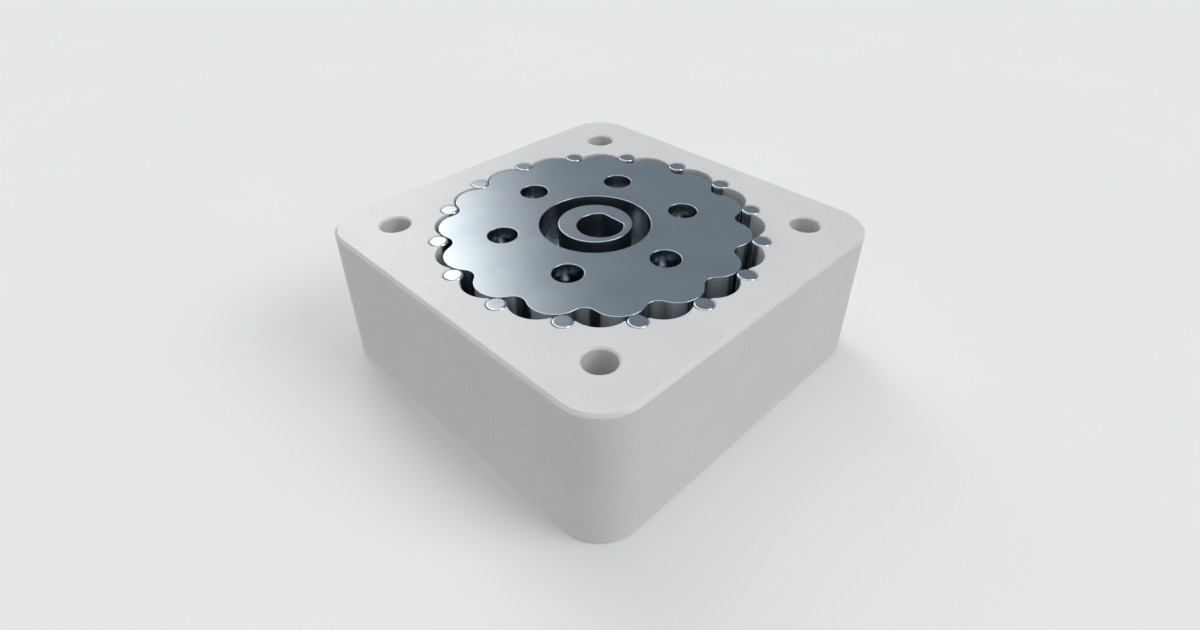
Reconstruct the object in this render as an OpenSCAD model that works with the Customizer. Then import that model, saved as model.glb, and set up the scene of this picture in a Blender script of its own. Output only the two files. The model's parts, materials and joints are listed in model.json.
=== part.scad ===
// Cycloidal reducer with one disc, for a 42 mm square motor with a 5 mm D shaft.
// The motor bolts to the top face and turns the eccentric shaft. The hub in the
// bottom face turns back, once for every [lobes] turns of the motor.
// Origin: centre of the bottom face, on the main axis. +Z points at the motor.

/* [Housing] */
// Side of the square housing
body_w = 42.6; // [42.2:0.1:60]
// Height of the housing, bottom face to motor face
body_h = 15.8; // [13:0.1:30]
// Radius of the four upright corners
corner_r = 4.6; // [2:0.1:5.5]
// Chamfer round the top and bottom edges
edge_chamfer = 0.3; // [0.1:0.05:0.8]
// Thickness of the floor that carries the ring pins
floor_t = 0.9; // [0.8:0.1:2]
// Land left under each retaining ring
ring_land = 0.8; // [0.5:0.1:1.5]

/* [Motor side] */
// Distance between the screw holes, both ways
mount_spacing = 31; // [30:0.1:32]
// Diameter of the screw holes
mount_hole_d = 3.2; // [2.6:0.1:4]
// Chamfer at the mouths of the screw holes
mount_hole_chamfer = 0.2; // [0.05:0.05:0.4]
// Diameter of the pockets for the screw heads
screw_head_d = 6; // [5:0.1:7.2]
// Depth of the pockets for the screw heads
screw_head_depth = 3.4; // [2:0.1:4.5]
// Diameter of the motor shaft
motor_shaft_d = 5; // [4:0.1:6]
// Width of the motor shaft from its flat to its far side
motor_shaft_flat = 4.5; // [3.6:0.1:5.6]

/* [Cycloid drive] */
// Lobes on the disc, which is also the ratio
lobes = 15; // [11:1:17]
// Radius of the circle that the ring pins stand on
pin_circle_r = 17; // [16.8:0.1:18]
// Diameter of a ring pin
ring_pin_d = 2; // [1.6:0.1:2.4]
// Offset of the disc from the main axis
eccentricity = 0.75; // [0.5:0.05:0.9]
// Depth of the blind end of a pin seat, below the floor
ring_pin_seat = 0.55; // [0.2:0.05:0.7]
// Drop of the pin tops below the motor face
ring_pin_drop = 0.05; // [0:0.05:0.3]
// Drop of the disc and the shaft below the motor face
disc_drop = 0.1; // [0:0.05:0.5]

/* [Output] */
// Number of output pins
output_pins = 6; // [4:1:8]
// Radius of the circle that the output pins stand on
output_circle_r = 10; // [9.5:0.1:10.5]
// Diameter of an output pin
output_pin_d = 1.6; // [1.2:0.1:2]
// Depth from the disc's top face to the tops of the output pins
output_pin_drop = 2.7; // [1.5:0.1:4]
// Height of the blind end of an output pin's seat above the hub's face
output_pin_base = 0.8; // [0.5:0.1:2]
// Drop of the hub's face behind the housing's bottom face
hub_drop = 0.2; // [0.1:0.05:0.5]
// Thickness of the hub's flange, above the main bearing
flange_t = 0.8; // [0.5:0.1:1.2]
// Number of tapped holes in the hub
hub_screws = 6; // [4:1:8]
// Radius of the circle of the tapped holes
hub_screw_circle_r = 9.75; // [9:0.05:10]
// Diameter of the tapped holes, at the root of their thread
hub_screw_d = 2.5; // [2:0.1:3]
// Depth of the tapped holes
hub_screw_depth = 4.4; // [2:0.1:4.8]
// Diameter of the centring bore in the hub
pilot_d = 7; // [5:0.1:9]
// Thickness of the hub under the input bearing
hub_floor_t = 2; // [1.2:0.1:2.5]

/* [Bearings] */
// Main bearing: bore
main_bore_d = 25; // [24.5:0.1:25.6]
// Main bearing: outside diameter
main_outer_d = 32; // [31:0.1:32.2]
// Main bearing: width
main_w = 4; // [3.6:0.1:5]
// Main bearing: ball diameter
main_ball_d = 2; // [1.6:0.1:2.2]
// Main bearing: number of balls
main_balls = 24; // [12:1:28]
// Disc and input bearings: bore, which is also the diameter of the eccentric
small_bore_d = 8; // [7.4:0.1:8.6]
// Disc and input bearings: outside diameter
small_outer_d = 12; // [11.6:0.1:13]
// Disc and input bearings: width
small_w = 3.5; // [2.9:0.1:3.6]
// Disc and input bearings: ball diameter
small_ball_d = 1.2; // [1:0.05:1.3]
// Disc and input bearings: number of balls
small_balls = 12; // [8:1:13]
// Thickness of the bearing shields
shield_t = 0.15; // [0.1:0.01:0.2]
// Thickness of the retaining rings
snap_ring_t = 0.55; // [0.4:0.05:1]
// Depth of the grooves for the retaining rings
snap_groove = 0.6; // [0.4:0.05:0.8]
// Opening between the ends of a retaining ring
snap_ring_gap = 3; // [2:0.5:6]

/* [Clearances] */
// Between the disc's edge and the ring pins
profile_gap = 0.05; // [0.02:0.01:0.15]
// Between the pocket's wall and the furthest sweep of the disc
sweep_gap = 0.15; // [0.1:0.01:0.3]
// Between the output pins and the far side of their holes
output_pin_gap = 0.05; // [0.02:0.01:0.15]
// Under the disc, above the housing's floor
disc_float = 0.2; // [0.1:0.05:0.5]
// Round a pressed pin and round a bearing on its seat
seat_gap = 0.02; // [0.01:0.01:0.05]
// Round a ball, in its grooves and in its cage
ball_gap = 0.05; // [0.03:0.01:0.1]
// Round the motor shaft in its D bore
shaft_gap = 0.02; // [0:0.01:0.1]
// Between a shield and the ring that turns past it
shield_gap = 0.1; // [0.05:0.01:0.2]

/* [Hidden] */
$fn = 96;
cut = 1;                     // how far a cutter runs past the face it opens
half_turn = 180;
rest_angle = 90;             // direction in which the eccentric points at rest
pins = lobes + 1;
snap_ring_play = 0.05;       // round a retaining ring, at the bottom of its groove

// Heights, from the bottom face up
snap_groove_w = snap_ring_t + snap_ring_play;
main_z = ring_land + snap_groove_w;
lip_z = main_z + main_w;
floor_z = lip_z + floor_t;
disc_z = floor_z + disc_float;
disc_top = body_h - disc_drop;
disc_t = disc_top - disc_z;
flange_top = lip_z + flange_t;
input_z = hub_drop + hub_floor_t;
collar_z = input_z + small_w;
collar_split = collar_z + (disc_z - collar_z) / 2;
relief_z = input_z - 0.3;    // floor of the recess under the input bearing's inner ring
journal_z = relief_z + 0.1;  // end face of the shaft, just off that floor
ring_pin_z = floor_z - ring_pin_seat;
output_pin_z = hub_drop + output_pin_base;

// Bearings as [bore, outside diameter, width, ball diameter, number of balls]
main = [main_bore_d, main_outer_d, main_w, main_ball_d, main_balls];
small = [small_bore_d, small_outer_d, small_w, small_ball_d, small_balls];
land_share = 0.4;            // ball centre to a ring's land, in ball diameters
cage_share = 0.275;          // half the cage's thickness, in ball diameters
cage_back = 0.7;             // ball centre to the closed side of the cage, in ball diameters
cage_front = 0.25;           // ball centre to the open side of the cage, in ball diameters
rebate_share = 0.35;         // depth of a shield's rebate, as a share of the outer ring's wall
ring_chamfer = 0.15;         // on the outer edges of a bearing's rings
shield_set = 0.1;            // drop of a shield behind the bearing's face
land_gap = 0.05;             // from a ring's land back to the shoulder that it seats on
snap_ring_lap = 0.15;        // from a ring's land to the edge of its retaining ring

// Edges
ring_pin_chamfer = 0.2;
output_pin_chamfer = 0.15;
journal_chamfer = 0.12;
hub_chamfer = 0.25;

function pitch_r(b) = (b[0] + b[1]) / 4;
function inner_land(b) = pitch_r(b) - land_share * b[3];
function outer_land(b) = pitch_r(b) + land_share * b[3];
function rebate_r(b) = outer_land(b) + rebate_share * (b[1] / 2 - outer_land(b));

// Radii
main_seat_r = main_outer_d / 2 + seat_gap;
hub_r = main_bore_d / 2 - seat_gap;
lip_r = min(outer_land(main) + land_gap, pin_circle_r - ring_pin_d / 2 - 0.2);  // in under the ring pins
flange_r = min(inner_land(main) - land_gap, lip_r - 0.3);
disc_bore_r = small_outer_d / 2 + seat_gap;
journal_r = small_bore_d / 2 - seat_gap;
collar_r = inner_land(small) - land_gap;
relief_r = outer_land(small) - 2 * land_gap;
bore_r = motor_shaft_d / 2 + shaft_gap;
bore_flat = motor_shaft_flat - motor_shaft_d / 2 + shaft_gap;
output_hole_r = output_pin_d / 2 + eccentricity + output_pin_gap;

// The disc's edge: the curve that keeps [profile_gap] off every ring pin while
// its centre goes round the eccentric's circle. Its points close up in the
// valleys, where it bends most, so that they lie evenly along it
lobe_steps = 24;
point_shift = 0.5 * 180 / PI / lobes;
function drive_angle(i) =
    let (a = i * 360 / (lobes * lobe_steps))
    a - point_shift * sin(lobes * a);
function drive_point(t) =
    let (
        lean = atan2(sin((1 - pins) * t), pin_circle_r / (eccentricity * pins) - cos((1 - pins) * t)),
        reach = ring_pin_d / 2 + profile_gap
    )
    [
        pin_circle_r * cos(t) - reach * cos(t + lean) - eccentricity * cos(pins * t),
        -pin_circle_r * sin(t) + reach * sin(t + lean) + eccentricity * sin(pins * t)
    ];

// The pocket: one flute between each two pins. A flute is the arc through the
// furthest sweep of a lobe and the flanks of the two pins. The disc can press on a
// pin as far round as [press_angle], and the housing lets go of the pin past that
pocket_r = pin_circle_r - ring_pin_d / 2 + sweep_gap;
press_angle = asin(pins * eccentricity / pin_circle_r);
pin_flank = press_angle + 27.1;
flute_top = pocket_r + 2 * eccentricity;
flank_x = pin_circle_r - ring_pin_d / 2 * cos(pin_flank);
flank_y = ring_pin_d / 2 * sin(pin_flank);
flank_r = norm([flank_x, flank_y]);
flank_reach = flank_r * cos(half_turn / pins - atan2(flank_y, flank_x));
flute_centre = (flute_top ^ 2 - flank_r ^ 2) / (2 * (flute_top - flank_reach));
flute_r = flute_top - flute_centre;

// Names of the parts, in the order of assembly
function pin_name(i) = str("ring_pin_", i < 10 ? "0" : "", i);
function output_pin_name(i) = str("output_pin_", i);
bearing_parts = ["outer_ring", "inner_ring", "balls", "cage", "shields"];

// ---------------------------------------------------------------- shapes

// Puts its children at the place of ring pin [i], or of the gap after it at [i] + 0.5
module at_ring_pin(i, r = pin_circle_r)
    rotate([0, 0, rest_angle + (i - 0.5) * 360 / pins]) translate([r, 0, 0]) children();

// Puts its children at each of [n] places round the axis, the first one [start] degrees from +X
module around(n, r, start = 0)
    for (i = [0:n - 1]) rotate([0, 0, start + i * 360 / n]) translate([r, 0, 0]) children();

// Puts its children at the four screw holes
module at_mounts()
    for (x = [-1, 1], y = [-1, 1]) translate([x * mount_spacing / 2, y * mount_spacing / 2, 0]) children();

// Square block with round upright corners and a chamfer on its top and bottom edges
module rounded_block(w, h, r, c) {
    half = w / 2;
    section = [
        [-half + c, 0], [half - c, 0], [half, c], [half, h - c],
        [half - c, h], [-half + c, h], [-half, h - c], [-half, c]
    ];
    for (turn = [0, 90])
        rotate([90, 0, turn]) linear_extrude(height = w - 2 * r, center = true) polygon(section);
    for (x = [-1, 1], y = [-1, 1])
        translate([x * (half - r), y * (half - r), 0])
            rotate_extrude() polygon([[0, 0], [r - c, 0], [r, c], [r, h - c], [r - c, h], [0, h]]);
}

// Dowel pin that stands on the XY plane, with chamfered ends
module dowel(d, l, c)
    rotate_extrude() polygon([[0, 0], [d / 2 - c, 0], [d / 2, c], [d / 2, l - c], [d / 2 - c, l], [0, l]]);

// Retaining ring of even section, open over [snap_ring_gap] at +X
module snap_ring(inner, outer)
    difference() {
        cylinder(h = snap_ring_t, r = outer);
        translate([0, 0, -cut]) cylinder(h = snap_ring_t + 2 * cut, r = inner);
        translate([0, -snap_ring_gap / 2, -cut]) cube([outer + cut, snap_ring_gap, snap_ring_t + 2 * cut]);
    }

// ---------------------------------------------------------------- bearings

module bearing_balls(b, grow = 0)
    around(b[4], pitch_r(b)) translate([0, 0, b[2] / 2]) sphere(r = b[3] / 2 + grow);

module ball_groove(b)
    translate([pitch_r(b), b[2] / 2]) circle(r = b[3] / 2 + ball_gap);

module bearing_outer_ring(b) {
    land = outer_land(b);
    wall = b[1] / 2;
    rebate = shield_set + shield_t;
    rotate_extrude() difference() {
        polygon([
            [land, rebate], [rebate_r(b), rebate], [rebate_r(b), 0],
            [wall - ring_chamfer, 0], [wall, ring_chamfer],
            [wall, b[2] - ring_chamfer], [wall - ring_chamfer, b[2]],
            [rebate_r(b), b[2]], [rebate_r(b), b[2] - rebate], [land, b[2] - rebate]
        ]);
        ball_groove(b);
    }
}

module bearing_inner_ring(b) {
    land = inner_land(b);
    bore = b[0] / 2;
    rotate_extrude() difference() {
        polygon([
            [bore + ring_chamfer, 0], [land, 0], [land, b[2]],
            [bore + ring_chamfer, b[2]], [bore, b[2] - ring_chamfer], [bore, ring_chamfer]
        ]);
        ball_groove(b);
    }
}

// Snap-in cage: closed under the balls, open above them
module bearing_cage(b)
    difference() {
        rotate_extrude()
            translate([pitch_r(b) - cage_share * b[3], b[2] / 2 - cage_back * b[3]])
                square([2 * cage_share * b[3], (cage_back + cage_front) * b[3]]);
        bearing_balls(b, ball_gap);
    }

module bearing_shields(b)
    for (z = [shield_set, b[2] - shield_set - shield_t])
        translate([0, 0, z]) difference() {
            cylinder(h = shield_t, r = rebate_r(b) - seat_gap);
            translate([0, 0, -cut]) cylinder(h = shield_t + 2 * cut, r = inner_land(b) + shield_gap);
        }

// One part of a bearing, by its name in [bearing_parts]
module bearing_part(b, part) {
    if (part == "outer_ring") color("#9fb0bb") bearing_outer_ring(b);
    if (part == "inner_ring") color("#9fb0bb") bearing_inner_ring(b);
    if (part == "balls") color("#dfe6ea") bearing_balls(b);
    if (part == "cage") color("#c9a24a") bearing_cage(b);
    if (part == "shields") color("#74808a") bearing_shields(b);
}

module main_bearing(part) translate([0, 0, main_z]) bearing_part(main, part);

module input_bearing(part) translate([0, 0, input_z]) bearing_part(small, part);

module disc_bearing(part) on_eccentric() translate([0, 0, disc_z]) bearing_part(small, part);

// ---------------------------------------------------------------- parts

// Moves its children to the eccentric's axis
module on_eccentric()
    rotate([0, 0, rest_angle]) translate([eccentricity, 0, 0]) rotate([0, 0, -rest_angle]) children();

// Space for the disc and the ring pins, open at the top
module disc_pocket() {
    depth = body_h - floor_z + cut;
    seat_r = ring_pin_d / 2 + seat_gap;
    mouth = 0.12;
    translate([0, 0, floor_z]) linear_extrude(height = depth) {
        circle(r = pocket_r);
        for (i = [1:pins]) at_ring_pin(i + 0.5, flute_centre) circle(r = flute_r);
    }
    for (i = [1:pins]) {
        at_ring_pin(i) translate([0, 0, ring_pin_z])
            cylinder(h = body_h - ring_pin_z + cut, r = seat_r);
        at_ring_pin(i) translate([0, 0, body_h - mouth])
            cylinder(h = 2 * mouth, r1 = seat_r, r2 = seat_r + 2 * mouth);
    }
}

// Stepped bore for the main bearing, its retaining ring and the hub
module bearing_bore() {
    mouth = 0.3;
    translate([0, 0, -cut]) cylinder(h = floor_z + 2 * cut, r = lip_r);
    translate([0, 0, -cut]) cylinder(h = lip_z + cut, r = main_seat_r);
    translate([0, 0, ring_land]) cylinder(h = snap_groove_w, r = main_seat_r + snap_groove);
    translate([0, 0, -mouth]) cylinder(h = 2 * mouth, r1 = main_seat_r + 2 * mouth, r2 = main_seat_r);
}

// Hole for a motor screw, with a pocket for its head in the bottom face
module mount_hole() {
    r = mount_hole_d / 2;
    c = mount_hole_chamfer;
    translate([0, 0, -cut]) cylinder(h = body_h + 2 * cut, r = r);
    translate([0, 0, -cut]) cylinder(h = screw_head_depth + cut, r = screw_head_d / 2);
    translate([0, 0, body_h - c]) cylinder(h = 2 * c, r1 = r, r2 = r + 2 * c);
}

module housing()
    color("#dfdfdd") difference() {
        rounded_block(body_w, body_h, corner_r, edge_chamfer);
        disc_pocket();
        bearing_bore();
        at_mounts() mount_hole();
    }

module ring_pin(i)
    color("#aebcc6") at_ring_pin(i) translate([0, 0, ring_pin_z])
        dowel(ring_pin_d, body_h - ring_pin_drop - ring_pin_z, ring_pin_chamfer);

module cycloid_disc()
    color("#8496a4") on_eccentric() translate([0, 0, disc_z]) difference() {
        rotate([0, 0, rest_angle - half_turn / lobes])
            linear_extrude(height = disc_t)
                polygon([for (i = [0:lobes * lobe_steps - 1]) drive_point(drive_angle(i))]);
        translate([0, 0, -cut]) cylinder(h = disc_t + 2 * cut, r = disc_bore_r);
        around(output_pins, output_circle_r, half_turn / output_pins)
            translate([0, 0, -cut]) cylinder(h = disc_t + 2 * cut, r = output_hole_r);
    }

// Bore for the motor shaft, with its flat at +X
module shaft_bore()
    difference() {
        cylinder(h = body_h, r = bore_r);
        translate([bore_flat, -bore_r - cut, -cut]) cube([bore_r, 2 * (bore_r + cut), body_h + 2 * cut]);
    }

module eccentric_shaft()
    color("#9aa9b4") difference() {
        union() {
            translate([0, 0, journal_z])
                dowel(2 * journal_r, collar_z - journal_z + journal_chamfer, journal_chamfer);
            translate([0, 0, collar_z]) cylinder(h = collar_split - collar_z, r = collar_r);
            on_eccentric() translate([0, 0, collar_split]) cylinder(h = disc_z - collar_split, r = collar_r);
            on_eccentric() translate([0, 0, disc_z - journal_chamfer])
                dowel(2 * journal_r, disc_top - disc_z + journal_chamfer, journal_chamfer);
        }
        shaft_bore();
    }

// Tapped hole from the hub's face, with a countersunk mouth and a drill point
module hub_screw_hole() {
    r = hub_screw_d / 2;
    sink = 0.3;
    point = r * tan(31);
    translate([0, 0, hub_drop - cut]) cylinder(h = hub_screw_depth + cut, r = r);
    translate([0, 0, hub_drop + hub_screw_depth]) cylinder(h = point, r1 = r, r2 = 0);
    translate([0, 0, hub_drop - sink]) cylinder(h = 2 * sink, r1 = r + 2 * sink, r2 = r);
}

module output_hub() {
    groove_r = hub_r - snap_groove;
    color("#a8b2b8") difference() {
        rotate_extrude() polygon([
            [pilot_d / 2, hub_drop], [hub_r - hub_chamfer, hub_drop], [hub_r, hub_drop + hub_chamfer],
            [hub_r, ring_land], [groove_r, ring_land], [groove_r, main_z], [hub_r, main_z],
            [hub_r, lip_z], [flange_r, lip_z], [flange_r, flange_top],
            [small_outer_d / 2 + seat_gap, flange_top], [small_outer_d / 2 + seat_gap, input_z],
            [relief_r, input_z], [relief_r, relief_z], [pilot_d / 2, relief_z]
        ]);
        around(output_pins, output_circle_r, half_turn / output_pins)
            translate([0, 0, output_pin_z])
                cylinder(h = flange_top - output_pin_z + cut, r = output_pin_d / 2 + seat_gap);
        around(hub_screws, hub_screw_circle_r) hub_screw_hole();
    }
}

module output_pin(i)
    color("#c3ced6")
        rotate([0, 0, half_turn / output_pins + (i - 1) * 360 / output_pins])
            translate([output_circle_r, 0, output_pin_z])
                dowel(output_pin_d, disc_top - output_pin_drop - output_pin_z, output_pin_chamfer);

module housing_snap_ring()
    color("#3c4248") translate([0, 0, main_z - snap_ring_t])
        snap_ring(outer_land(main) + snap_ring_lap, main_seat_r + snap_groove - snap_ring_play);

module hub_snap_ring()
    color("#3c4248") translate([0, 0, main_z - snap_ring_t]) rotate([0, 0, half_turn])
        snap_ring(hub_r - snap_groove + snap_ring_play, inner_land(main) - snap_ring_lap - land_gap);

// ---------------------------------------------------------------- assembly

housing();
for (i = [1:pins])
    ring_pin(i);
cycloid_disc();
eccentric_shaft();
output_hub();
for (i = [1:output_pins])
    output_pin(i);
for (p = bearing_parts) {
    main_bearing(p);
    disc_bearing(p);
    input_bearing(p);
}
housing_snap_ring();
hub_snap_ring();
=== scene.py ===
# Cycloidal reducer: rounded steel pieces, threads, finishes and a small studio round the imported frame.
import json
import math

import bmesh
import bpy
import numpy as np
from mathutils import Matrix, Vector


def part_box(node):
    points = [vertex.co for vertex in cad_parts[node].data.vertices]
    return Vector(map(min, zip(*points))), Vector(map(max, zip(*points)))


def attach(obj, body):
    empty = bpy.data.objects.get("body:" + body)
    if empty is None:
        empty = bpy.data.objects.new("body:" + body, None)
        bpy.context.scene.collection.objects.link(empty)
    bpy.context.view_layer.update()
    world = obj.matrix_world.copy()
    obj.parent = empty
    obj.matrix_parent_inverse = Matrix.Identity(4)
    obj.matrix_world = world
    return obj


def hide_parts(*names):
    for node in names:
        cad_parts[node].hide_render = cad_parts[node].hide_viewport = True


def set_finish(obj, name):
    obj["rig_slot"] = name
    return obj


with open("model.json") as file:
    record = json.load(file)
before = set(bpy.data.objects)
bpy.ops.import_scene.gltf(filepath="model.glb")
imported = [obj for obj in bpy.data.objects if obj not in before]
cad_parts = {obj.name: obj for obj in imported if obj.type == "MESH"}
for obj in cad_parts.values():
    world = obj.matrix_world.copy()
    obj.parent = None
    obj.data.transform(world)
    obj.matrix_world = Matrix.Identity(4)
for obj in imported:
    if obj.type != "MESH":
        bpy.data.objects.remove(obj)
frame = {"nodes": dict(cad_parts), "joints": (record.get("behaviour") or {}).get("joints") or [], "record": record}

mm = 0.001
weldStep = 1e-5 * mm             # points that round to the same step become one
creaseAngle = 40                 # degrees, past which two faces meet in a sharp edge
seatGap = 0.02 * mm              # round a bearing on its seat
nodes = frame["nodes"]
record = frame["record"]
bpy.context.view_layer.update()

# Sizes that the frame gives: the throw of the eccentric, the lobes, and the pins' circles
jointAt = {joint["name"]: joint["pos_m"] for joint in frame["joints"]}
ratioOf = {coupling["joint"]: coupling["ratio"] for coupling in record["behaviour"]["couplings"]}
throw = jointAt["disc_spin"][1]
onEccentric = (0, throw)
lobes = round(-1 / (ratioOf["disc_spin"] + 1))
ringPins = sorted(name for name in nodes if name.startswith("ring_pin_"))
outputPins = sorted(name for name in nodes if name.startswith("output_pin_"))


def roundNode(name):
    # middle, radius, foot and top of an upright round node, from its box
    low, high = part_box(name)
    return {
        "middle": ((low.x + high.x) / 2, (low.y + high.y) / 2),
        "radius": (high.x - low.x) / 2,
        "foot": low.z,
        "top": high.z,
    }


ringPin = roundNode(ringPins[0])
outputPin = roundNode(outputPins[0])
ringCircle = math.hypot(*ringPin["middle"])
outputCircle = math.hypot(*outputPin["middle"])
print("frame loaded:", len(nodes), "nodes,", lobes, "lobes,", len(ringPins), "ring pins")


def circle(angles, radius, middle=(0, 0)):
    # x and y: the middle plus the radius times (cosine, sine) of each angle; a column of radii
    # gives a grid, one row for each
    return np.stack([middle[0] + radius * np.cos(angles), middle[1] + radius * np.sin(angles)], axis=-1)


def atHeight(points, z):
    # flat points lifted to a height, or each row of a grid to its own from a column of heights
    return np.concatenate([points, np.broadcast_to(z, points.shape[:-1])[..., None]], axis=-1)


def edgeRows(foot, top, edge, steps=4):
    # a wall with round edges, as columns of insets and heights from its foot to its top: at each
    # end inset = edge - edge * sine and rise = edge - edge * cosine, over a quarter turn
    turn = np.linspace(0, np.pi / 2, steps + 1)
    inset = edge * (1 - np.sin(turn))
    rise = edge * (1 - np.cos(turn))
    insets = np.concatenate([inset, inset[::-1]])
    heights = np.concatenate([foot + rise, (top - rise)[::-1]])
    return insets[:, None], heights[:, None]


def addPiece(name, patches, body, slot, stands=()):
    # patches are (grid of points, smooth or flat); quads join neighbours in each grid, points that
    # coincide are welded, and a quad with a doubled corner becomes a triangle
    points, quads, smooth, start = [], [], [], 0
    for grid, isSmooth in patches:
        rows, columns = grid.shape[:2]
        index = start + np.arange(rows * columns).reshape(rows, columns)
        corners = [index[:-1, :-1], index[:-1, 1:], index[1:, 1:], index[1:, :-1]]
        made = np.stack(corners, axis=-1).reshape(-1, 4)
        points.append(grid.reshape(-1, 3))
        quads.append(made)
        smooth.append(np.full(len(made), isSmooth))
        start += rows * columns
    points, quads, smooth = np.concatenate(points), np.concatenate(quads), np.concatenate(smooth)
    whole = np.round(points / weldStep).astype(np.int64)
    _, first, same = np.unique(whole, axis=0, return_index=True, return_inverse=True)
    quads = same.ravel()[quads]
    doubled = quads == np.roll(quads, -1, axis=1)
    count = doubled.sum(axis=1)
    faces = quads[count == 0].tolist() + quads[count == 1][~doubled[count == 1]].reshape(-1, 3).tolist()
    smooth = np.concatenate([smooth[count == 0], smooth[count == 1]])

    mesh = bpy.data.meshes.new(name)
    mesh.from_pydata(points[first].tolist(), [], faces)
    work = bmesh.new()
    work.from_mesh(mesh)
    bmesh.ops.recalc_face_normals(work, faces=work.faces)
    work.to_mesh(mesh)
    work.free()
    mesh.set_sharp_from_angle(angle=math.radians(creaseAngle))
    mesh.polygons.foreach_set("use_smooth", smooth)  # last, because the line above makes every face smooth
    piece = bpy.data.objects.new(name, mesh)
    bpy.context.scene.collection.objects.link(piece)
    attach(piece, body)
    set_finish(piece, slot)
    if stands:
        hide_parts(*stands)
    return piece


pinLook = {"ringEdge": 0.22 * mm, "outputEdge": 0.15 * mm, "edgeSteps": 6, "steps": 72}


def addPin(name, node, edge, body):
    # dowel pin: circles of radius less inset up the side, whose ends round off over the edge radius,
    # and flat ends of circles from no radius to radius less edge
    pin = roundNode(node)
    angles = np.linspace(0, 2 * np.pi, pinLook["steps"] + 1)
    insets, heights = edgeRows(pin["foot"], pin["top"], edge, pinLook["edgeSteps"])
    side = atHeight(circle(angles, pin["radius"] - insets, pin["middle"]), heights)
    end = circle(angles, np.array([[0], [pin["radius"] - edge]]), pin["middle"])
    patches = [(side, True), (atHeight(end, pin["foot"]), False), (atHeight(end, pin["top"]), False)]
    return addPiece(name, patches, body, "dowel_steel", [node])


pinPieces = []
for number, node in enumerate(ringPins, 1):
    pinPieces.append(addPin(f"ringDowel{number:02d}", node, pinLook["ringEdge"], "housing"))
for number, node in enumerate(outputPins, 1):
    pinPieces.append(addPin(f"outputDowel{number}", node, pinLook["outputEdge"], "output"))
print("pins:", len(pinPieces))

discLook = {
    "profileGap": 0.05 * mm,   # kept between the edge and every ring pin
    "holeGap": 0.05 * mm,      # kept at the far side of an output hole
    "edge": 0.07 * mm,         # edge break round the profile, the bore and the holes
    "stepsPerLobe": 48,
    "boreSteps": 24,           # along the bore, for each output hole
    "radialSteps": 16,
}


def pinParallel(inset):
    # parallel curve to the path of the pin centres in the disc: for each turn t of the pins' circle,
    # pin centre = R cos t - e cos((n + 1) t), stepped back along its normal by the pin's radius,
    # the gap and the inset, where n is the number of lobes, R the circle and e the throw; a column
    # of insets gives a grid
    pins = lobes + 1
    t = np.linspace(0, 2 * np.pi, lobes * discLook["stepsPerLobe"], endpoint=False)
    reach = ringPin["radius"] + discLook["profileGap"] + inset
    lean = np.arctan2(np.sin((1 - pins) * t), ringCircle / (throw * pins) - np.cos((1 - pins) * t))
    x = ringCircle * np.cos(t) - reach * np.cos(t + lean) - throw * np.cos(pins * t)
    y = -ringCircle * np.sin(t) + reach * np.sin(t + lean) + throw * np.sin(pins * t)
    turn = np.pi / 2 - np.pi / lobes  # at rest a lobe points along the throw
    points = np.stack([x * np.cos(turn) - y * np.sin(turn), x * np.sin(turn) + y * np.cos(turn)], axis=-1)
    return points[..., ::-1, :]  # anticlockwise


pointAngles = np.arctan2(*pinParallel(0).T[::-1])
outlineStart = np.argmin(np.abs(pointAngles))  # the point at +X of the disc's axis


def discOutline(inset):
    # the parallel curve about the disc's own axis, from its point at +X
    return np.roll(pinParallel(inset), -outlineStart, axis=-2) + onEccentric


def discFace(z):
    # one sector for each output hole: straight spokes from the rim of the hole to the loop round its
    # sector, which runs along the outline, in along a side, back along the bore and out along the other
    # side; the hole's point for each point of the loop lies in its direction from the hole's middle
    sector = 2 * np.pi / len(outputPins)
    outlineSteps = lobes * discLook["stepsPerLobe"] // len(outputPins)
    rim = np.concatenate([discOutline(discLook["edge"])] * 2)
    bore = circle(boreAngles, boreRadius + discLook["edge"], onEccentric)
    share = np.linspace(0, 1, discLook["radialSteps"] + 1)[:, None]
    made = []
    for k in range(len(outputPins)):
        outer = rim[k * outlineSteps:(k + 1) * outlineSteps + 1]
        inner = bore[k * discLook["boreSteps"]:(k + 1) * discLook["boreSteps"] + 1]
        sideIn = outer[-1] + share * (inner[-1] - outer[-1])
        sideOut = inner[0] + share * (outer[0] - inner[0])
        loop = np.concatenate([outer, sideIn[1:], inner[::-1][1:], sideOut[1:]])
        angle = (k + 0.5) * sector
        middle = np.array([outputCircle * math.cos(angle), throw + outputCircle * math.sin(angle)])
        sight = np.arctan2(*(loop - middle).T[::-1])
        hole = circle(sight, holeRadius + discLook["edge"], middle)
        made.append((sight, middle, np.stack([atHeight(loop, z), atHeight(hole, z)])))
    return made


discBox = roundNode("cycloid_disc")
boreRadius = roundNode("disc_bearing_outer_ring")["radius"] + seatGap
holeRadius = outputPin["radius"] + throw + discLook["holeGap"]
insets, heights = edgeRows(discBox["foot"], discBox["top"], discLook["edge"])
outline = atHeight(discOutline(insets), heights)
boreAngles = np.linspace(0, 2 * np.pi, len(outputPins) * discLook["boreSteps"] + 1)
boreWall = atHeight(circle(boreAngles, boreRadius + insets, onEccentric), heights)
discPatches = [(np.concatenate([outline, outline[:, :1]], axis=1), True), (boreWall, True)]
for z in (discBox["foot"], discBox["top"]):
    discPatches += [(face, False) for _, _, face in discFace(z)]
for sight, middle, _ in discFace(discBox["top"]):
    discPatches.append((atHeight(circle(sight, holeRadius + insets, middle), heights), True))
disc = addPiece("cycloidDisc", discPatches, "disc", "disc_steel", ["cycloid_disc"])
print("disc:", len(disc.data.polygons), "faces")

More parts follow.
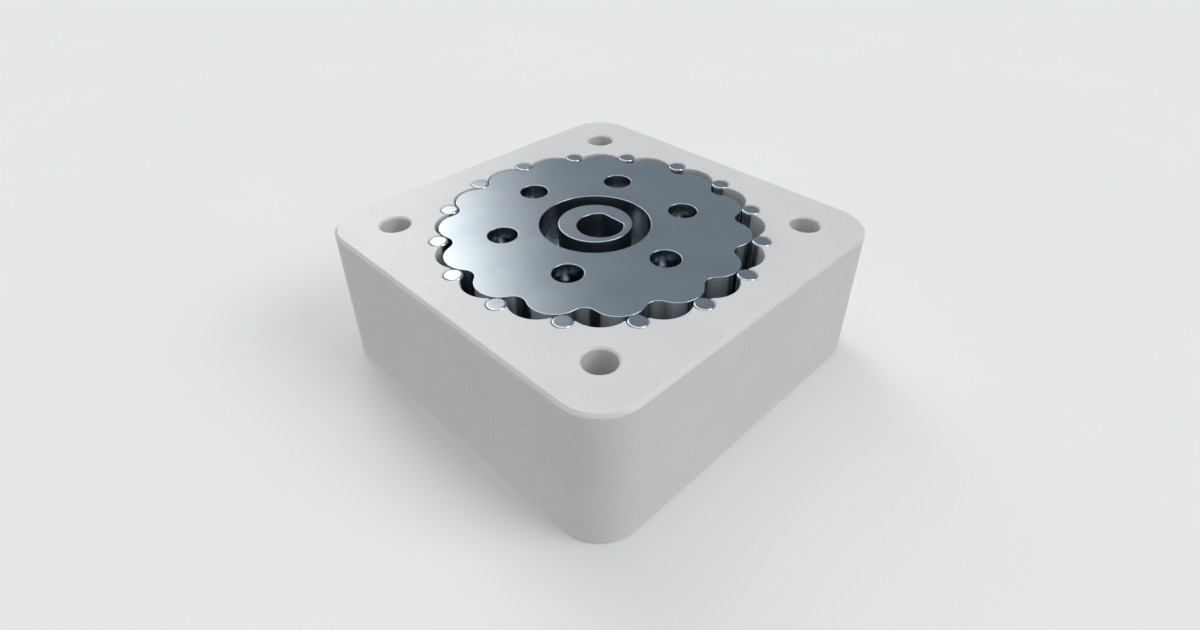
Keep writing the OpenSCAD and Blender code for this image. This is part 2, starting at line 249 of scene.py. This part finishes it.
shaftLook = {
    "boreRadius": 2.52 * mm,
    "flatAt": 2.02 * mm,       # the flat's distance from the main axis, on +X
    "bearingBore": 8 * mm,     # of the two bearings that seat on the journals
    "edge": 0.09 * mm,
    "boreEdge": 0.08 * mm,
    "steps": 144,
}


def shaftAngles():
    # even angles, with the two corners of the D put in exactly
    corner = math.acos(shaftLook["flatAt"] / shaftLook["boreRadius"])
    even = np.linspace(-np.pi, np.pi, shaftLook["steps"] + 1)
    return np.sort(np.concatenate([even, [-corner, corner]]))


def boreOutline(angles, inset):
    # D shape in polar form: the smaller of the bore's radius and flat / cosine, both let out by the inset
    lean = np.maximum(np.cos(angles), 1e-6)  # above zero, so that the flat stays out of reach behind
    flat = (shaftLook["flatAt"] + inset) / lean
    return circle(angles, np.minimum(shaftLook["boreRadius"] + inset, flat))


def shaftRing(radius, z, offset=0):
    # circles round the main axis, or round the eccentric's where the offset is the throw
    return atHeight(circle(shaftAngles(), radius, (0, offset)), z)


shaftBox = roundNode("eccentric_shaft")
insets, heights = edgeRows(shaftBox["foot"], shaftBox["top"], shaftLook["boreEdge"])
bore = atHeight(boreOutline(shaftAngles(), insets), heights)

# The outside from the foot up: journal, collar, the step to the eccentric's axis, collar and journal
journal, collar = shaftLook["bearingBore"] / 2 - seatGap, shaftBox["radius"]
foot, top = roundNode("input_bearing_inner_ring")["top"], roundNode("disc_bearing_inner_ring")["foot"]
split = (foot + top) / 2
insets, heights = edgeRows(shaftBox["foot"], shaftBox["top"], shaftLook["edge"])
half = len(insets) // 2
rings = [
    *shaftRing(journal - insets[:half], heights[:half]),
    shaftRing(journal, foot),
    shaftRing(collar, foot),
    shaftRing(collar, split),
    shaftRing(collar, split, throw),
    shaftRing(collar, top, throw),
    shaftRing(journal, top, throw),
    *shaftRing(journal - insets[half:], heights[half:], throw),
]
shaftPatches = [(bore, True), (np.stack(rings[:half + 1]), True), (np.stack(rings[-half - 1:]), True)]
shaftPatches += [(np.stack([bore[0], rings[0]]), False), (np.stack([rings[-1], bore[-1]]), False)]
for start in range(half, half + 5):
    shaftPatches.append((np.stack(rings[start:start + 2]), start - half in (1, 3)))
shaft = addPiece("eccentricShaft", shaftPatches, "input_shaft", "shaft_steel", ["eccentric_shaft"])
print("shaft:", len(shaft.data.polygons), "faces")

tapped = next(mount for mount in record["mounts"] if mount["name"] == "output_bolts")
threadLook = {
    "root": tapped["dims"]["hole_r_mm"] * mm,
    "crest": 1.03 * mm,
    "pitch": 0.45 * mm,
    "rootWidth": 0.4 * mm,
    "crestWidth": 0.12 * mm,
    "sink": 0.01 * mm,         # how far the thread's foot lies in the wall of its hole
    "start": 0.5 * mm,         # heights above the housing's bottom face
    "end": 4.3 * mm,
    "fadeTurns": 0.5,
    "fadeLeft": 0.02,          # share of the thread's height left at its two ends
    "stepsPerTurn": 36,
}


def threadGrid(middle):
    # a trapezium carried along a helix: x and y are the middle plus the section's radius times (cosine,
    # sine) of the turn, z is the start plus the section's rise plus one pitch a turn, and the crest
    # shrinks into the wall over the first and last half turn
    look = threadLook
    turns = (look["end"] - look["start"]) / look["pitch"]
    count = round(turns * look["stepsPerTurn"])
    along = np.linspace(0, turns, count + 1)
    fade = np.clip(np.minimum(along, turns - along) / look["fadeTurns"], 0, 1)
    foot = look["root"] + look["sink"]
    crest = foot - (foot - look["crest"]) * np.maximum(fade, look["fadeLeft"])
    radii = np.stack(np.broadcast_arrays(foot, crest, crest, foot, foot), axis=1)
    rise = np.array([-look["rootWidth"], -look["crestWidth"], look["crestWidth"], look["rootWidth"]]) / 2
    height = look["start"] + along[:, None] * look["pitch"] + rise[[0, 1, 2, 3, 0]]
    return atHeight(circle(along[:, None] * 2 * np.pi, radii, middle), height)


threadPatches = []
for k in range(tapped["dims"]["count"]):
    spot = circle(np.array(k * 2 * np.pi / tapped["dims"]["count"]), tapped["dims"]["pcd_mm"] / 2 * mm)
    grid = threadGrid(spot)
    threadPatches.append((grid, True))
    for end in (grid[0], grid[-1]):
        threadPatches.append((np.stack([end[[0, 1]], end[[3, 2]]]), False))
threads = addPiece("hubThreads", threadPatches, "output", "hub_steel")
print("threads:", len(threads.data.polygons), "faces")


def hexColour(code):
    # sRGB hex to linear: up to 0.04045 divide by 12.92, above it ((c + 0.055) / 1.055) to the power 2.4
    srgb = np.array([int(code[i:i + 2], 16) for i in (1, 3, 5)]) / 255
    linear = np.where(srgb <= 0.04045, srgb / 12.92, ((srgb + 0.055) / 1.055) ** 2.4)
    return (*linear.tolist(), 1.0)


def addNode(tree, kind, inputs=None, **settings):
    # a node with its settings; each input is an output of another node, or a value. A colour mix takes
    # its share in input 0 and its colours in 6 and 7, and gives its result as output 2
    made = tree.nodes.new(kind)
    for key, value in settings.items():
        setattr(made, key, value)
    for key, value in (inputs or {}).items():
        if isinstance(value, bpy.types.NodeSocket):
            tree.links.new(value, made.inputs[key])
        else:
            made.inputs[key].default_value = value
    return made


def startFinish(name, look, axis=(0, 0)):
    # a material with the look's plain values, and its coordinates: millimetres from an upright axis
    material = bpy.data.materials.new(name)
    material.use_nodes = True
    tree = material.node_tree
    shader = tree.nodes["Principled BSDF"]
    for key, value in look.items():
        if key in shader.inputs:
            shader.inputs[key].default_value = value
    seat = addNode(tree, "ShaderNodeTexCoord")
    place = addNode(tree, "ShaderNodeMapping", {
        "Vector": seat.outputs["Object"],
        "Location": (-axis[0] / mm, -axis[1] / mm, 0),
        "Scale": (1 / mm, 1 / mm, 1 / mm),
    })
    return material, tree, shader, place.outputs["Vector"]


# Shared by every finish
patternLook = {
    "octaves": 2,
    "cloudSpan": (0.35, 0.65),   # noise over which the tone gives way to the shade
    "roughSpan": (0.3, 0.7),     # noise over which the roughness runs from its lower to its upper value
    "turnSpan": (0.995, 0.85),   # match of the softened and the true normal, from unworn to worn
    "bevelSamples": 4,
}


def latheLines(tree, place, spacing):
    # noise along one length, the distance from the axis plus the height: rings on a face and on a wall
    flat = addNode(tree, "ShaderNodeVectorMath", {0: place, 1: (1, 1, 0)}, operation="MULTIPLY")
    radius = addNode(tree, "ShaderNodeVectorMath", {0: flat.outputs[0]}, operation="LENGTH")
    split = addNode(tree, "ShaderNodeSeparateXYZ", {0: place})
    length = addNode(
        tree, "ShaderNodeMath", {0: radius.outputs["Value"], 1: split.outputs["Z"]}, operation="ADD"
    )
    lines = addNode(tree, "ShaderNodeTexNoise", {
        "W": length.outputs[0], "Scale": 1 / spacing, "Detail": patternLook["octaves"],
    }, noise_dimensions="1D")
    return lines.outputs["Fac"]


def strokes(tree, place, spacing, drawn=(1, 1, 1)):
    # noise with features one spacing wide, drawn out along each axis by 1 / drawn
    scaled = addNode(tree, "ShaderNodeVectorMath", {0: place, 1: drawn}, operation="MULTIPLY")
    cloud = addNode(tree, "ShaderNodeTexNoise", {
        "Vector": scaled.outputs[0], "Scale": 1 / spacing, "Detail": patternLook["octaves"],
    })
    return cloud.outputs["Fac"]


def cloudedTone(tree, place, look):
    # tone and shade mixed by a soft cloud, then the rubbed colour where a rounded edge turns away
    cloud = strokes(tree, place, look["cloud"])
    low, high = patternLook["cloudSpan"]
    share = addNode(tree, "ShaderNodeMapRange", {"Value": cloud, "From Min": low, "From Max": high})
    tone = addNode(tree, "ShaderNodeMix", {
        0: share.outputs[0], 6: hexColour(look["tone"]), 7: hexColour(look["shade"]),
    }, data_type="RGBA")
    worn = addNode(tree, "ShaderNodeBevel", {"Radius": look["rub"]}, samples=patternLook["bevelSamples"])
    flat = addNode(tree, "ShaderNodeNewGeometry")
    match = addNode(
        tree, "ShaderNodeVectorMath", {0: worn.outputs[0], 1: flat.outputs["Normal"]}, operation="DOT_PRODUCT"
    )
    unworn, full = patternLook["turnSpan"]
    edge = addNode(tree, "ShaderNodeMapRange", {
        "Value": match.outputs["Value"], "From Min": unworn, "From Max": full, "To Max": look["wear"],
    })
    return addNode(tree, "ShaderNodeMix", {
        0: edge.outputs[0], 6: tone.outputs[2], 7: hexColour(look["rubbed"]),
    }, data_type="RGBA").outputs[2]


def finishSurface(tree, shader, colour, pattern, look):
    # colour, then roughness and a bump of the look's depth from the pattern, over softened edges
    low, high = patternLook["roughSpan"]
    rough = addNode(tree, "ShaderNodeMapRange", {
        "Value": pattern, "From Min": low, "From Max": high,
        "To Min": look["rough"][0], "To Max": look["rough"][1],
    })
    soft = addNode(tree, "ShaderNodeBevel", {"Radius": look["edge"]}, samples=patternLook["bevelSamples"])
    bump = addNode(tree, "ShaderNodeBump", {
        "Height": pattern, "Distance": look["depth"], "Normal": soft.outputs[0],
    })
    tree.links.new(colour, shader.inputs["Base Color"])
    tree.links.new(rough.outputs[0], shader.inputs["Roughness"])
    tree.links.new(bump.outputs[0], shader.inputs["Normal"])


# Housing: white acetal copolymer, milled from plate and fine-blasted. Even satin white that lets a little
# light through, a blasted grain that only a glancing light shows, drawn at 0.14 mm where the real one is
# about 0.05 mm, and edges rubbed slightly paler
housingFinish = {
    "tone": "#dedddc", "shade": "#dad9d9", "rubbed": "#e5e4e3", "cloud": 7, "grain": 0.14,
    "rough": (0.25, 0.32), "depth": 0.0014 * mm, "edge": 0.08 * mm, "rub": 0.2 * mm, "wear": 0.4,
    "IOR": 1.48, "Subsurface Weight": 0.4, "Subsurface Radius": (1, 1, 1), "Subsurface Scale": 1.2 * mm,
}


def milledAcetal():
    material, tree, shader, place = startFinish("milledAcetal", housingFinish)
    grain = strokes(tree, place, housingFinish["grain"])
    finishSurface(tree, shader, cloudedTone(tree, place, housingFinish), grain, housingFinish)
    return material


# Cycloid disc: hardened alloy steel, surface-ground and lapped. A blue-grey mirror, a little soft, with
# straight grinding lines 0.2 mm apart, drawn coarser than the real 0.02 mm so that they show
discFinish = {
    "tone": "#c1c8cd", "shade": "#bac1c7", "rubbed": "#d8dde0", "cloud": 5,
    "lines": 0.2, "drawn": (0.02, 1, 0.02),    # fifty times as long as wide
    "rough": (0.15, 0.19), "depth": 0.0004 * mm, "edge": 0.03 * mm, "rub": 0.1 * mm, "wear": 0.3,
    "Metallic": 1,
}


def lappedDiscSteel():
    material, tree, shader, place = startFinish("lappedDiscSteel", discFinish, onEccentric)
    lines = strokes(tree, place, discFinish["lines"], discFinish["drawn"])
    finishSurface(tree, shader, cloudedTone(tree, place, discFinish), lines, discFinish)
    return material


# Eccentric shaft: the same steel, turned and then ground round. Its rings are drawn 0.2 mm apart, as the
# disc's lines are, where the grinding wheel leaves them about 0.02 mm apart
shaftFinish = {
    "tone": "#c1c8cd", "shade": "#b9c0c6", "rubbed": "#d8dde0", "cloud": 2.5, "lines": 0.2,
    "rough": (0.15, 0.21), "depth": 0.0005 * mm, "edge": 0.03 * mm, "rub": 0.1 * mm, "wear": 0.3,
    "Metallic": 1,
}


def groundShaftSteel():
    material, tree, shader, place = startFinish("groundShaftSteel", shaftFinish, onEccentric)
    lines = latheLines(tree, place, shaftFinish["lines"])
    finishSurface(tree, shader, cloudedTone(tree, place, shaftFinish), lines, shaftFinish)
    return material


# Dowel pins: bearing steel, through-hardened, centreless-ground and polished. The brightest pieces, with
# barely a cloud in their polish
dowelFinish = {
    "tone": "#c0c6cb", "shade": "#b6bdc3", "rubbed": "#d8dde0", "cloud": 1.2, "grain": 0.25,
    "rough": (0.09, 0.14), "depth": 0.0001 * mm, "edge": 0.03 * mm, "rub": 0.08 * mm, "wear": 0.25,
    "Metallic": 1,
}


def polishedDowelSteel():
    material, tree, shader, place = startFinish("polishedDowelSteel", dowelFinish)
    grain = strokes(tree, place, dowelFinish["grain"])
    finishSurface(tree, shader, cloudedTone(tree, place, dowelFinish), grain, dowelFinish)
    return material


# Output hub: free-cutting steel, fine-turned. Lathe rings catch the light on its face, drawn 0.45 mm apart
# so that they show, where the real feed is about 0.1 mm
hubFinish = {
    "tone": "#c3c7ca", "shade": "#b8bdc1", "rubbed": "#d9dcde", "cloud": 6, "lines": 0.45,
    "rough": (0.22, 0.36), "depth": 0.003 * mm, "edge": 0.05 * mm, "rub": 0.15 * mm, "wear": 0.6,
    "Metallic": 1,
}


def turnedHubSteel():
    material, tree, shader, place = startFinish("turnedHubSteel", hubFinish)
    lines = latheLines(tree, place, hubFinish["lines"])
    finishSurface(tree, shader, cloudedTone(tree, place, hubFinish), lines, hubFinish)
    return material


# Bearing rings and balls: chrome steel, ground and honed. Bright and neutral, with faint rings drawn
# 0.12 mm apart, far coarser than the honing's own
bearingFinish = {
    "tone": "#cdd0d3", "shade": "#c4c8cc", "rubbed": "#dfe1e3", "cloud": 3, "lines": 0.12,
    "rough": (0.1, 0.16), "depth": 0.0002 * mm, "edge": 0.04 * mm, "rub": 0.1 * mm, "wear": 0.25,
    "Metallic": 1,
}


def honedBearingSteel(axis=(0, 0)):
    material, tree, shader, place = startFinish("honedBearingSteel", bearingFinish, axis)
    lines = latheLines(tree, place, bearingFinish["lines"])
    finishSurface(tree, shader, cloudedTone(tree, place, bearingFinish), lines, bearingFinish)
    return material


# Bearing shields: stainless sheet, pressed. Satin, darker than the rings, with the faint rings that a
# spun die leaves, 0.25 mm apart
shieldFinish = {
    "tone": "#b0b4b7", "shade": "#a5aaae", "rubbed": "#c8cbcd", "cloud": 2, "lines": 0.25,
    "rough": (0.3, 0.4), "depth": 0.0008 * mm, "edge": 0.03 * mm, "rub": 0.08 * mm, "wear": 0.3,
    "Metallic": 1,
}


def pressedShieldSteel(axis=(0, 0)):
    material, tree, shader, place = startFinish("pressedShieldSteel", shieldFinish, axis)
    lines = latheLines(tree, place, shieldFinish["lines"])
    finishSurface(tree, shader, cloudedTone(tree, place, shieldFinish), lines, shieldFinish)
    return material


# Bearing cages: brass, machined from tube. Warm yellow, dulled a little by oil, brighter on its edges
cageFinish = {
    "tone": "#c8a765", "shade": "#b39152", "rubbed": "#dfc389", "cloud": 1.5, "grain": 0.3,
    "rough": (0.26, 0.38), "depth": 0.0008 * mm, "edge": 0.03 * mm, "rub": 0.08 * mm, "wear": 0.6,
    "Metallic": 1,
}


def machinedCageBrass():
    material, tree, shader, place = startFinish("machinedCageBrass", cageFinish)
    grain = strokes(tree, place, cageFinish["grain"])
    finishSurface(tree, shader, cloudedTone(tree, place, cageFinish), grain, cageFinish)
    return material


# Retaining rings: spring steel, wound from flat wire and phosphated. Matt dark grey with a fine crystal
# grain, and bare steel showing along its edges
springFinish = {
    "tone": "#45484a", "shade": "#393c3e", "rubbed": "#7d8285", "cloud": 1.5, "grain": 0.1,
    "rough": (0.45, 0.6), "depth": 0.002 * mm, "edge": 0.04 * mm, "rub": 0.08 * mm, "wear": 0.7,
    "Metallic": 0.85,
}


def phosphatedSpringSteel():
    material, tree, shader, place = startFinish("phosphatedSpringSteel", springFinish)
    grain = strokes(tree, place, springFinish["grain"])
    finishSurface(tree, shader, cloudedTone(tree, place, springFinish), grain, springFinish)
    return material


finishes = {
    "housing_polymer": milledAcetal(),
    "disc_steel": lappedDiscSteel(),
    "shaft_steel": groundShaftSteel(),
    "dowel_steel": polishedDowelSteel(),
    "hub_steel": turnedHubSteel(),
    "bearing_steel": honedBearingSteel(),
    "shield_steel": pressedShieldSteel(),
    "cage_brass": machinedCageBrass(),
    "spring_steel": phosphatedSpringSteel(),
}
discBearingFinishes = {
    "bearing_steel": honedBearingSteel(onEccentric), "shield_steel": pressedShieldSteel(onEccentric),
}
for name, node in nodes.items():
    own = discBearingFinishes if name.startswith("disc_bearing") else finishes
    for slot in node.material_slots:
        slotName = slot.material.name.split(".")[0]
        slot.material = own.get(slotName, finishes[slotName])
for piece in [*pinPieces, disc, shaft, threads]:
    piece.data.materials.append(finishes[piece["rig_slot"]])
print("finishes:", len(finishes))


# Pale matt floor. It shows from above and takes the shadow, and lets light through to the underside
floorLook = {
    "colour": "#f4f4f2", "shade": "#eeeeed", "cloud": 60,
    "radius": 3, "height": -0.02 * mm, "steps": 64,
}


def addFloor():
    # a round sheet: one face whose corners stand on a circle
    angles = np.linspace(0, 2 * np.pi, floorLook["steps"], endpoint=False)
    rim = atHeight(circle(angles, floorLook["radius"]), floorLook["height"])
    mesh = bpy.data.meshes.new("studioFloor")
    mesh.from_pydata(rim.tolist(), [], [list(range(len(rim)))])
    sheet = bpy.data.objects.new("studioFloor", mesh)
    bpy.context.scene.collection.objects.link(sheet)
    material = bpy.data.materials.new("paintedFloor")
    material.use_nodes = True
    tree = material.node_tree
    tree.nodes.clear()
    seat = addNode(tree, "ShaderNodeTexCoord")
    place = addNode(
        tree, "ShaderNodeMapping", {"Vector": seat.outputs["Object"], "Scale": (1 / mm, 1 / mm, 1 / mm)}
    )
    cloud = strokes(tree, place.outputs[0], floorLook["cloud"])
    tone = addNode(tree, "ShaderNodeMix", {
        0: cloud, 6: hexColour(floorLook["colour"]), 7: hexColour(floorLook["shade"]),
    }, data_type="RGBA")
    paint = addNode(tree, "ShaderNodeBsdfDiffuse", {"Color": tone.outputs[2]})
    clear = addNode(tree, "ShaderNodeBsdfTransparent")
    path = addNode(tree, "ShaderNodeLightPath").outputs["Is Camera Ray"]
    side = addNode(tree, "ShaderNodeNewGeometry").outputs["Backfacing"]
    seen = addNode(tree, "ShaderNodeMath", {0: path, 1: side}, operation="GREATER_THAN")
    mixed = addNode(
        tree, "ShaderNodeMixShader", {0: seen.outputs[0], 1: clear.outputs[0], 2: paint.outputs[0]}
    )
    addNode(tree, "ShaderNodeOutputMaterial", {"Surface": mixed.outputs[0]})
    mesh.materials.append(material)


def sine(degrees):
    return math.sin(math.radians(degrees))


def direction(azimuth, elevation):
    # unit vector; azimuth turns from +X to +Y, in degrees
    turn, rise = math.radians(azimuth), math.radians(elevation)
    return (math.cos(turn) * math.cos(rise), math.sin(turn) * math.cos(rise), math.sin(rise))


# Soft studio: an even, slightly blue room with a pale horizon, a broad soft box overhead, and a tall strip
# box at the back whose light grows slowly towards its near edge and fades on its far side. Seen directly,
# or through something clear, the room is plain and pale like the floor. Colours here are linear light
studioLook = {
    "horizon": (0.6, 0.6, 0.6, 1),
    "room": (0.255, 0.3, 0.34, 1), "roomHeight": (0, 22),         # degrees above the floor
    "overhead": (1.36, 1.32, 1.28, 1), "overheadHeight": (50, 75),
    "strip": (2.5, 2.5, 2.5, 1), "stripHeight": (12, 23), "stripGrowth": 4.5,
    "stripSide": (147.5, 7.5),          # direction across the strip, square to its near edge
    "stripNear": (-0.235, 0.118), "stripFar": (0.52, 0.4),
    "stripEnd": (57.5, 0), "stripTop": (0.15, 0.55),
    "ground": (0.57, 0.573, 0.577, 1), "groundHeight": (0, -3.44),
    "seen": (0.783, 0.802, 0.804, 1),
}


def addStudio():
    # one colour laid over the next, each by its own share between 0 and 1
    world = bpy.data.worlds.new("softStudio")
    world.use_nodes = True
    bpy.context.scene.world = world
    tree = world.node_tree
    look = studioLook
    ray = addNode(tree, "ShaderNodeTexCoord").outputs["Generated"]
    height = addNode(tree, "ShaderNodeSeparateXYZ", {0: ray}).outputs["Z"]
    side, end = [
        addNode(tree, "ShaderNodeVectorMath", {0: ray, 1: direction(*look[key])}, operation="DOT_PRODUCT")
        for key in ("stripSide", "stripEnd")
    ]
    shares = {}
    for key, measure, limits, blend in (
        ("room", height, map(sine, look["roomHeight"]), "SMOOTHSTEP"),
        ("overhead", height, map(sine, look["overheadHeight"]), "SMOOTHSTEP"),
        ("stripNear", side.outputs["Value"], look["stripNear"], "LINEAR"),
        ("stripFar", side.outputs["Value"], look["stripFar"], "SMOOTHSTEP"),
        ("stripTop", end.outputs["Value"], look["stripTop"], "SMOOTHSTEP"),
        ("stripHeight", height, map(sine, look["stripHeight"]), "SMOOTHSTEP"),
        ("ground", height, map(sine, look["groundHeight"]), "SMOOTHSTEP"),
    ):
        first, last = limits
        shares[key] = addNode(
            tree, "ShaderNodeMapRange", {"Value": measure, "From Min": first, "From Max": last},
            interpolation_type=blend,
        ).outputs[0]
    path = addNode(tree, "ShaderNodeLightPath").outputs
    strip = look["stripGrowth"]
    for key, operation in (
        ("stripNear", "POWER"), ("stripFar", "MULTIPLY"),
        ("stripTop", "MULTIPLY"), ("stripHeight", "MULTIPLY"),
    ):
        strip = addNode(tree, "ShaderNodeMath", {0: shares[key], 1: strip}, operation=operation).outputs[0]
    shares["strip"] = strip
    shares["seen"] = addNode(
        tree, "ShaderNodeMath", {0: path["Is Camera Ray"], 1: path["Is Transmission Ray"]},
        operation="MAXIMUM",
    ).outputs[0]
    sky = look["horizon"]
    for key in ("room", "overhead", "strip", "ground", "seen"):
        sky = addNode(
            tree, "ShaderNodeMix", {0: shares[key], 6: sky, 7: look[key]}, data_type="RGBA"
        ).outputs[2]
    tree.links.new(sky, tree.nodes["Background"].inputs["Color"])


keyLook = {"strength": 0.95, "spread": 36, "at": (300, 40)}  # spread and direction in degrees


def addKey():
    # broad soft light from the right-hand front, as even over the floor as a panel far off
    lamp = bpy.data.lights.new("keyLight", "SUN")
    lamp.energy = keyLook["strength"]
    lamp.angle = math.radians(keyLook["spread"])
    holder = bpy.data.objects.new("keyLight", lamp)
    holder.rotation_euler = Vector(direction(*keyLook["at"])).to_track_quat("Z", "Y").to_euler()
    bpy.context.scene.collection.objects.link(holder)


cameraLook = {
    "at": (-46.546 * mm, -46.546 * mm, 54.38 * mm), "aim": (0, 0, 7.834 * mm),
    "lens": 21.33, "sensor": 36,        # in millimetres
    "shift": -0.025, "clip": (1 * mm, 20),
}


def addCamera():
    # looks down on the top face over one corner
    data = bpy.data.cameras.new("studioCamera")
    data.lens = cameraLook["lens"]
    data.sensor_width = cameraLook["sensor"]
    data.shift_y = cameraLook["shift"]
    data.clip_start, data.clip_end = cameraLook["clip"]
    camera = bpy.data.objects.new("studioCamera", data)
    camera.location = cameraLook["at"]
    sight = Vector(cameraLook["aim"]) - Vector(cameraLook["at"])
    camera.rotation_euler = sight.to_track_quat("-Z", "Y").to_euler()
    bpy.context.scene.collection.objects.link(camera)
    bpy.context.scene.camera = camera


addFloor()
addStudio()
addKey()
addCamera()
bpy.context.scene.view_settings.view_transform = "Standard"
print("studio: floor, world, key light and camera")

bpy.context.view_layer.update()
